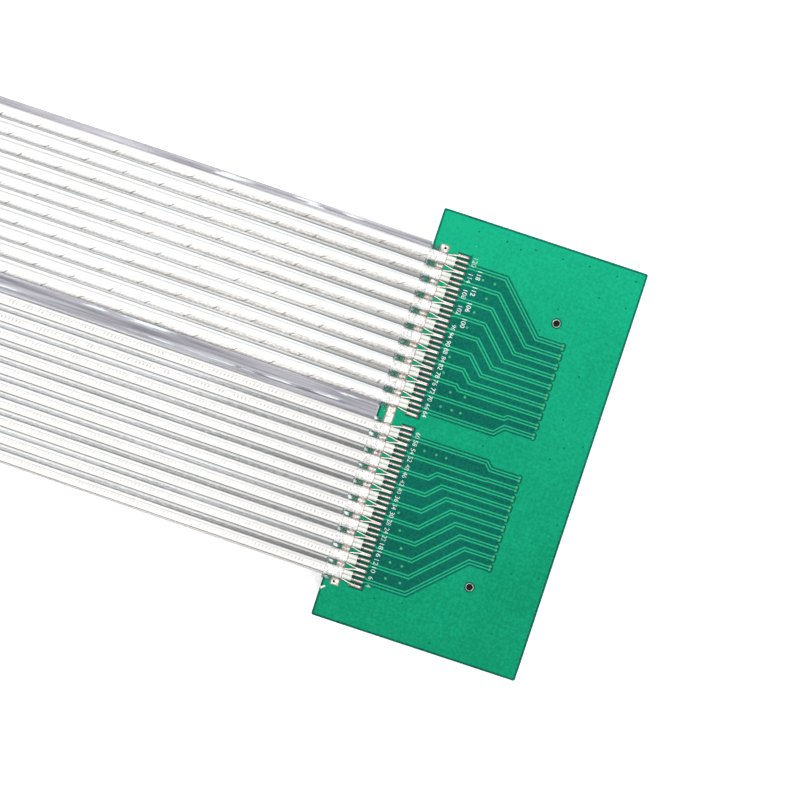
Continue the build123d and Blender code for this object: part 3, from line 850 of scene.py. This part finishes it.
def makePadSolder(name, side, look):
    # mound: height * (1 - u^6) * sqrt(1 - v^2) * bead, for u along the pad and v across it, bead a bump at its own u
    v = np.sin(np.linspace(-0.5, 0.5, look["columns"]) * np.pi)
    u, v = np.meshgrid(np.linspace(-1, 1, look["rows"]), v, indexing="ij")
    signals = [half * y + o * padPitch / 2 for half in (1, -1) for y in pairCentres for o in (1, -1)]
    grounds = [half * y for half in (1, -1) for y in gapCentres]
    parts = []
    for y, inset in [(y, look["signalInset"]) for y in signals] + [(y, look["groundInset"]) for y in grounds]:
        height = look["height"] * random.uniform(*look["heights"])
        bead = np.exp(-(((u - random.uniform(-0.8, 0.8)) / look["beadLength"]) ** 2))
        bead = 1 + look["bead"] * bead * random.uniform(0, 1)
        top = height * np.maximum(1 - u**6, 0) * np.sqrt(np.maximum(1 - v**2, 0)) * bead
        x = padMiddle + u * ((padEnd - padStart) / 2 - look["inset"])
        parts.append(solderBody(stacked(x, y + v * (look["padWidth"] / 2 - inset), copperTop + top)))
    cardPiece(name, side, joinMeshes(parts), "solder")


def makeStripSolder(name, side, look):
    # height: fillet * exp(-(distance to the nearest shield)^2) + lumps, with a low ridge along the inner edge
    y = np.arange(-stripReach + look["inset"], stripReach - look["inset"], look["step"])
    x = np.linspace(stripStart + look["inset"], stripEnd - look["inset"], look["rows"])
    gx, gy = np.meshgrid(x, y, indexing="ij")
    beside = np.abs(np.abs(gy)[..., None] - pairCentres).min(axis=2) - shields["width"] / 2
    lumps = softNoise(gx.shape)
    fillet = look["fillet"] * np.exp(-((np.maximum(beside, 0) / look["filletWidth"]) ** 2))
    height = fillet + look["base"] + look["lumps"] * lumps
    bare = (np.abs(gy) > pairCentres[-1] + look["bareBeyond"]) | (np.abs(gy) < pairCentres[0] - look["bareBeyond"])
    height = np.where(bare, look["bareBase"] + look["bareLumps"] * lumps, height)
    height = height + look["ridge"] * np.exp(-(((gx - x[-1]) / look["ridgeWidth"]) ** 2))
    height = np.maximum(height, look["least"]) * np.minimum(1, np.minimum(gx - x[0], x[-1] - gx) / 0.15 + 0.2)
    cardPiece(name, side, solderBody(stacked(gx, gy, copperTop + height)), "stripSolder")


# Loose film: the clear film runs on past the card's edge over the foil, sags between the pairs and curls up in slanted
# folds. A fold's size and its x and y from the gap's start are drawn between the limits in curls
tail = {"start": -0.28, "end": 1.2, "rows": 20, "step": 0.08, "thickness": 0.02, "clear": 0.02, "sag": 0.24,
        "crumple": 0.02, "curl": 0.26, "ragged": 0.0125, "endLimits": (-0.15, 0.12), "reach": (-0.2, 0.35),
        "curls": [(0.35, 1.0), (-0.12, 0.3), (-0.4, 0.15)],
        # the last size is the spread of the painted highlight on a curl
        "upperShare": 0.35, "curlWay": (0.64, 0.77), "curlSize": (0.52, 0.19), "curlGlintSize": (0.6, 0.3)}


def makeFilmTail(name, side, half, look):
    # over a pair the ribbon's own outline and a small clearance; in a gap it sinks with x; a curl is a long bump
    y = np.arange(gapCentres[0] + look["reach"][0], gapCentres[-1] + look["reach"][1], look["step"])
    u = np.linspace(0, 1, look["rows"])[:, None]
    end = look["end"] + np.clip(look["ragged"] * np.cumsum(random.normal(size=len(y))), *look["endLimits"])
    x = look["start"] + (end - look["start"]) * u
    d = np.abs(y[:, None] - pairCentres).min(axis=1) / (ribbon["humpWidth"] / 2)
    hump = humpOutline(np.minimum(d, 1)) * (ribbon["humpHeight"] / 2 + look["clear"])
    gap = np.clip((d - 1) / 0.15, 0, 1)
    gapNumber = np.round((y - gapCentres[0]) / pairPitch).astype(int)
    size, curlX, curlY = [random.uniform(low, high, len(gapCentres) + 1)[gapNumber] for low, high in look["curls"]]
    dx, dy = x - curlX, y - gapCentres[0] - gapNumber * pairPitch - curlY
    wayX, wayY = look["curlWay"]
    long, short = wayX * dx + wayY * dy, wayY * dx - wayX * dy
    # the second shape of a curl is the mask of its painted highlight
    curls, curlGlint = [(look["upperShare"] if half > 0 else 1.0) * size * np.exp(-((long / a) ** 2) - (short / b) ** 2)
                   for a, b in (look["curlSize"], look["curlGlintSize"])]
    z = pairAxis + hump - gap * look["sag"] * np.clip((x + 0.1) / 0.8, 0, 1)
    z = z + look["curl"] * curls + look["crumple"] * softNoise(z.shape) * (0.4 + gap)
    z = np.clip(z, copperTop + 0.05, pairAxis + ribbon["humpHeight"] / 2 - 0.01)
    upper = stacked(x, half * y, z)
    points, faces = slab(upper, upper - [0, 0, look["thickness"]])
    # one value a point: 0 on a pair, 1 in a gap (painted shade), up to 2 where it curls (painted highlight)
    values = ("gapShadeAndCurlGlint", np.tile((gap * (1 + curlGlint)).ravel(), 2))
    cardPiece(name, side, (points, faces), "tail", None, points[:, :2], values)


for end, side in cards.items():
    for half in (1, -1):
        label = "upper" if side * half > 0 else "lower"
        makeShieldEnds(f"{end}_shield_ends_{label}", side, half, shields)
        makeCores(f"{end}_cores_{label}", side, half, cores)
        makeSignalWires(f"{end}_signal_wires_{label}", side, half, wires)
        makeDrainWires(f"{end}_drain_wires_{label}", side, half, wires)
        makeFilmTail(f"{end}_film_tail_{label}", side, half, tail)
    makePadSolder(f"{end}_pad_solder", side, solder)
    makeStripSolder(f"{end}_strip_solder", side, strips)
print("cable ends made")

# Printed pin numbers beside the pads: two a pair, in one column, or in two where they have three digits
numbers = {"digitHeight": 0.68, "digitAdvance": 0.45, "digitGap": 0.06, "innerColumn": 6.59, "outerColumn": 7.74,
           "apart": 0.58, "apartWide": 0.8, "thickness": 0.015, "middle": 63, "perPair": 6, "wideFrom": 6}


def textMesh(body):
    # the outline of a few characters, scaled to the printed height, centred, as thick as the print
    data = bpy.data.curves.new("digits", "FONT")
    data.body, data.size, data.extrude = body, 1.0, 0.5
    points, faces = meshOfCurve(data)
    low, high = points.min(0), points.max(0)
    width = numbers["digitAdvance"] * len(body) - numbers["digitGap"]
    size = np.array([width, numbers["digitHeight"], numbers["thickness"]])
    return (points - (low + high) / 2) / (high - low) * size, faces


def makeNumbers(name, side):
    # the upper half counts up from the card's middle in sixes, the lower half down
    labels = []
    for half in (1, -1):
        for i, y in enumerate(pairCentres):
            first = round(numbers["middle"] + half * numbers["perPair"] * (i + 0.5))
            wide = half > 0 and i >= numbers["wideFrom"]
            for number, direction in ((first, 1), (first - 2, -1)):
                x = numbers["outerColumn"] if wide and direction < 0 else numbers["innerColumn"]
                labels.append((str(number), x, half * y + direction * numbers["apartWide" if wide else "apart"]))
    allPoints, allFaces, count = [], [], 0
    for body, x, y in labels:
        flat, faces = textMesh(body)
        height = copperTop + numbers["thickness"] / 2 + flat[:, 2]
        allPoints.append(stacked(x + flat[:, 1], y - flat[:, 0], height))
        allFaces += [tuple(v + count for v in f) for f in faces]
        count += len(flat)
    cardPiece(name, side, (np.concatenate(allPoints), allFaces), "ink")


# Round marks: via lands at the ends of the traces, vias between the pairs, tented vias over the card, as (x, y).
# A mark is its (radius, height, dip), and its outline is in shares of its radius and height
vias = {
    "outline": [(0, 0), (1, 0), (0.93, 0.7), (0.72, 1)], "dipRadius": 0.35,
    "column": 22.44, "apart": 0.5, "land": (0.21, 0.035, 0.5), "dot": (0.2, 0.03, 0.3), "tented": (0.13, 0.008, 0.6),
    "bore": (0.18, 0.07, 0.3), "sides": 14, "firstUpper": 3.5, "firstLower": 3.0, "pitch": 1.5,
    "upperGaps": {0: (8.4, 10.1, 11.4), 1: (9.1, 11.3), 2: (7.25,), 3: (7.4,), 5: (8.45,), 6: (8.75,), 7: (7.8, 9.8),
                  8: (8.5, 10.3)},
    "lowerGaps": {0: (8.2, 10.0, 11.5), 4: (7.45,), 5: (8.4,), 6: (9.4,), 7: (8.5, 10.3), 8: (8.6, 10.8)},
    "scattered": [(5.8, 29.1), (10.1, 29.0), (12.3, 28.5), (14.4, 29.1), (18.5, 29.1), (22.5, 29.3), (26.7, 29.2),
                  (29.5, 29.3), (8.0, -25.8), (12.0, -25.2), (25.2, 25.4), (29.3, 25.2), (20.1, 22.0), (18.5, 18.3),
                  (26.0, 13.7), (25.8, 7.1), (29.7, 4.3), (27.2, 3.3), (16.0, -0.1), (25.7, 1.1), (29.7, -7.6),
                  (29.6, -15.7), (25.6, -16.3), (25.7, -25.4), (17.5, -29.5)],
    "stripEnds": [(1.92, 25.3), (1.66, -25.3)],
}
holes = {"x": 20.51, "y": 20.0, "inner": 0.485, "outer": 0.575, "height": 0.03, "bevel": 0.02, "sides": 36}


def roundMark(profile, sides):
    # a small closed body of revolution: (radius, height) pairs turned about z, from the middle of its base to its top
    cos, sin = circle(sides)
    rings = np.array([stacked(r * cos, r * sin, z) for r, z in profile])
    return rings.reshape(-1, 3), gridFaces(len(profile), sides, closedColumns=True)


def dishMark(radius, height, dip):
    # a low land with a dip at its middle
    outline = vias["outline"] + [(vias["dipRadius"], 1 - dip), (0, 1 - dip)]
    return roundMark([(radius * across, height * up) for across, up in outline], vias["sides"])


def makeMarks(name, side, mark, places, height, finish):
    offsets = np.array([[x, y, height] for x, y in places])
    cardPiece(name, side, repeatMesh(*mark, offsets), finish)


def dressCard(end, side):
    k, o = np.arange(10) * vias["pitch"], vias["apart"] / 2
    halves = ((1, vias["firstUpper"], vias["upperGaps"]), (-1, vias["firstLower"], vias["lowerGaps"]))
    lands = [(vias["column"], y) for s, first, _ in halves for way in (o, -o) for y in s * (first + k) + way]
    dots = [(x, s * gapCentres[g + 1]) for s, _, found in halves for g, xs in found.items() for x in xs]
    makeMarks(f"{end}_via_lands", side, dishMark(*vias["land"]), lands, copperTop, "via")
    makeMarks(f"{end}_window_vias", side, dishMark(*vias["dot"]), dots, boardTop, "via")
    makeMarks(f"{end}_tented_vias", side, dishMark(*vias["tented"]), vias["scattered"], copperTop, "pit")
    # the vias at the ends of the ground strip are low dishes painted near black, as painted shade for their open bores
    makeMarks(f"{end}_strip_vias", side, dishMark(*vias["bore"]), vias["stripEnds"], copperTop, "bore")
    inner, outer, height, bevel = holes["inner"], holes["outer"], holes["height"], holes["bevel"]
    collar = roundMark([(inner, 0), (outer, 0), (outer - bevel, height), (inner + bevel, height), (inner, 0)],
                       holes["sides"])
    makeMarks(f"{end}_hole_collars", side, collar, [(holes["x"], holes["y"]), (holes["x"], -holes["y"])], boardTop,
              "solder")


for end, side in cards.items():
    makeNumbers(f"{end}_pin_numbers", side)
    dressCard(end, side)
print("print and vias made")

# Stray bits that the photograph shows on the near card: solder balls and specks as (x, y, radius), and a scrap of film
# at the cable edge
debris = {"balls": [(0.85, 0.35, 0.11), (2.95, -15.55, 0.09), (0.9, 0.95, 0.06), (4.6, -24.6, 0.07), (6.1, 26.9, 0.07)],
          "specks": [(5.9, 25.5, 0.09), (14.9, 16.3, 0.1), (4.9, 26.4, 0.05)], "flatness": 0.15,
          "scrap": [(0.09, -26.77), (0.7, -26.28)], "scrapWidth": 0.4, "scrapTaper": 0.4, "scrapThickness": 0.03,
          "scrapAbove": 0.06, "scrapBend": 0.18}


def makeDebris(look):
    turn = np.linspace(-np.pi / 2, np.pi / 2, 8)
    for name, spots, finish, slotName, flat in (
            ("near_solder_balls", look["balls"], "solder", "tinned_pad", 1.0),
            ("near_specks", look["specks"], "pit", "masked_copper", look["flatness"])):
        parts = []
        for x, y, radius in spots:
            ball, faces = roundMark([(radius * math.cos(t), radius * flat * (1 + math.sin(t))) for t in turn], 12)
            parts.append((ball + [x, y, copperTop], faces))
        cardPiece(name, 1, joinMeshes(parts), finish)
    # the scrap bends up along its length: height is a half wave
    (x0, y0), (x1, y1) = look["scrap"]
    u, v = np.meshgrid(np.linspace(0, 1, 12), np.linspace(-0.5, 0.5, 5), indexing="ij")
    width = look["scrapWidth"] * (1 - look["scrapTaper"] * u)
    height = copperTop + look["scrapAbove"] + look["scrapBend"] * np.sin(np.pi * u) + 0.05 * v
    upper = stacked(x0 + (x1 - x0) * u - v * width * 0.6, y0 + (y1 - y0) * u + v * width * 0.8, height)
    cardPiece("near_film_scrap", 1, slab(upper, upper - [0, 0, look["scrapThickness"]]), "core")


makeDebris(debris)

# Solids that keep their own shape get their finish
nodeFinish = {"board": "laminate", "ground_pour": "pour", "traces_upper": "trace", "traces_lower": "trace",
              "signal_pads": "pad", "ground_pads": "pad", "ground_strip": "pad", "connector_housing": "housing",
              "contacts_cable_row": "gold", "contacts_outer_row": "gold", "ground_blades": "gold"}
for end in cards:
    for part, finish in nodeFinish.items():
        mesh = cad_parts[f"{end}_{part}"].data
        mesh.materials.clear()
        mesh.materials.append(materials[finish])
print("solids finished")

# Floor and light: white paper, a surround that is bright overhead and dim at the horizon, two wide lamps
studio = {
    "floor": 0.95, "floorGlow": 0.45, "floorHalf": 1.5, "floorDrop": 0.00002, "horizon": 0.3, "fromPlusY": 0.9,
    "overhead": 1.4, "aim": (0.084, 0.0, 0.0), "lampSize": 0.7,
    "lamps": {"leftBox": ((-0.35, 0.45, 1.0), 5.0), "rightBox": ((0.5, -0.35, 1.0), 4.0)},
}


def makeFloor(look):
    reach, drop, white = look["floorHalf"], look["floorDrop"], look["floor"]
    data = bpy.data.meshes.new("floor")
    corners = [(x * reach, y * reach, -drop) for x, y in ((-1, -1), (1, -1), (1, 1), (-1, 1))]
    data.from_pydata(corners, [], [(0, 1, 2, 3)])
    material, tree, shader = newMaterial("floorPaper", Roughness=0.9, Specular_IOR_Level=0.1,
                                         Emission_Strength=look["floorGlow"])
    tone = addGroup(tree, mottle, {"Light": (white, white, white), "Dark": (white * 0.985, white * 0.985, white * 0.99),
                                   "Cloud Scale": 3.0, "Grain Scale": 40.0})
    feed(shader, "Base Color", tone["Color"])
    feed(shader, "Emission Color", tone["Color"])
    data.materials.append(material)
    floor = bpy.data.objects.new("floor", data)
    bpy.context.collection.objects.link(floor)


def makeLight(look):
    for name, (place, power) in look["lamps"].items():
        lamp = bpy.data.lights.new(name, "AREA")
        lamp.size, lamp.energy = look["lampSize"], power
        holder = bpy.data.objects.new(name, lamp)
        holder.location = place
        aim = np.array(look["aim"]) - np.array(place)
        holder.rotation_euler = (math.atan2(math.hypot(aim[0], aim[1]), -aim[2]), 0,
                                 math.atan2(aim[1], aim[0]) - math.pi / 2)
        bpy.context.collection.objects.link(holder)
    world = bpy.data.worlds.new("surround")
    world.use_nodes = True
    tree = world.node_tree
    way = Value(addNode(tree, "TexCoord").outputs["Generated"])
    _, y, z = [Value(output) for output in addNode(tree, "SeparateXYZ", {"Vector": way}).outputs]
    rise = maths("POWER", maths("MAXIMUM", z, 0.0), 3.0)
    low = y * look["fromPlusY"] + 1.0
    tree.nodes["Background"].inputs[0].default_value = (1, 1, 1, 1)
    feed(tree.nodes["Background"], 1, rise * look["overhead"] + low * look["horizon"])
    bpy.context.scene.world = world
    bpy.context.scene.view_settings.view_transform = "Standard"


makeFloor(studio)
makeLight(studio)
print("studio made")
